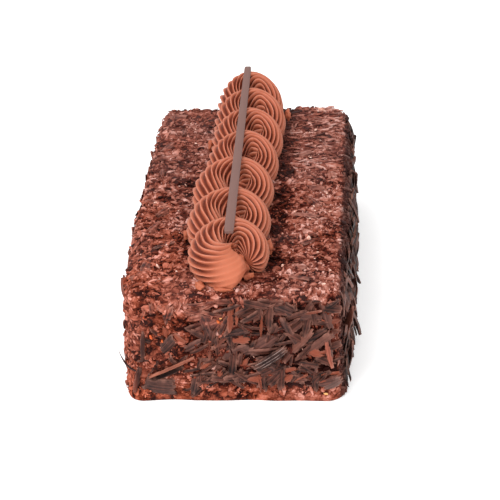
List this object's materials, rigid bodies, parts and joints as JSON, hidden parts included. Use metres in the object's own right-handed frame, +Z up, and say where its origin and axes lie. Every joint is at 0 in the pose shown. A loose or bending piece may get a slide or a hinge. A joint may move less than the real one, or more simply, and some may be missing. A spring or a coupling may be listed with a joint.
{
  "type": "chocolate loaf cake",
  "caption": "Rectangular chocolate loaf cake coated in crumb and shaved chocolate, with a piped row of looping cream along the top and a thin chocolate stick laid on it.",
  "frame": {"origin": "centre of the loaf's underside, on the surface that the cake stands on", "axes": "+Z up, +Y along the loaf from the near end to the far end, +X to the right as seen from the near end"},
  "size_m": [0.1156, 0.2111, 0.0844],
  "materials": {
    "chocolate_coat": "rough crumb and shaved chocolate",
    "chocolate_cream": "soft satin",
    "tempered_chocolate": "matte with faint lengthwise streaks"
  },
  "bodies": {
    "root": {"cake": "chocolate_coat", "piped_cream": "chocolate_cream", "chocolate_stick": "tempered_chocolate"}
  },
  "joints": []
}
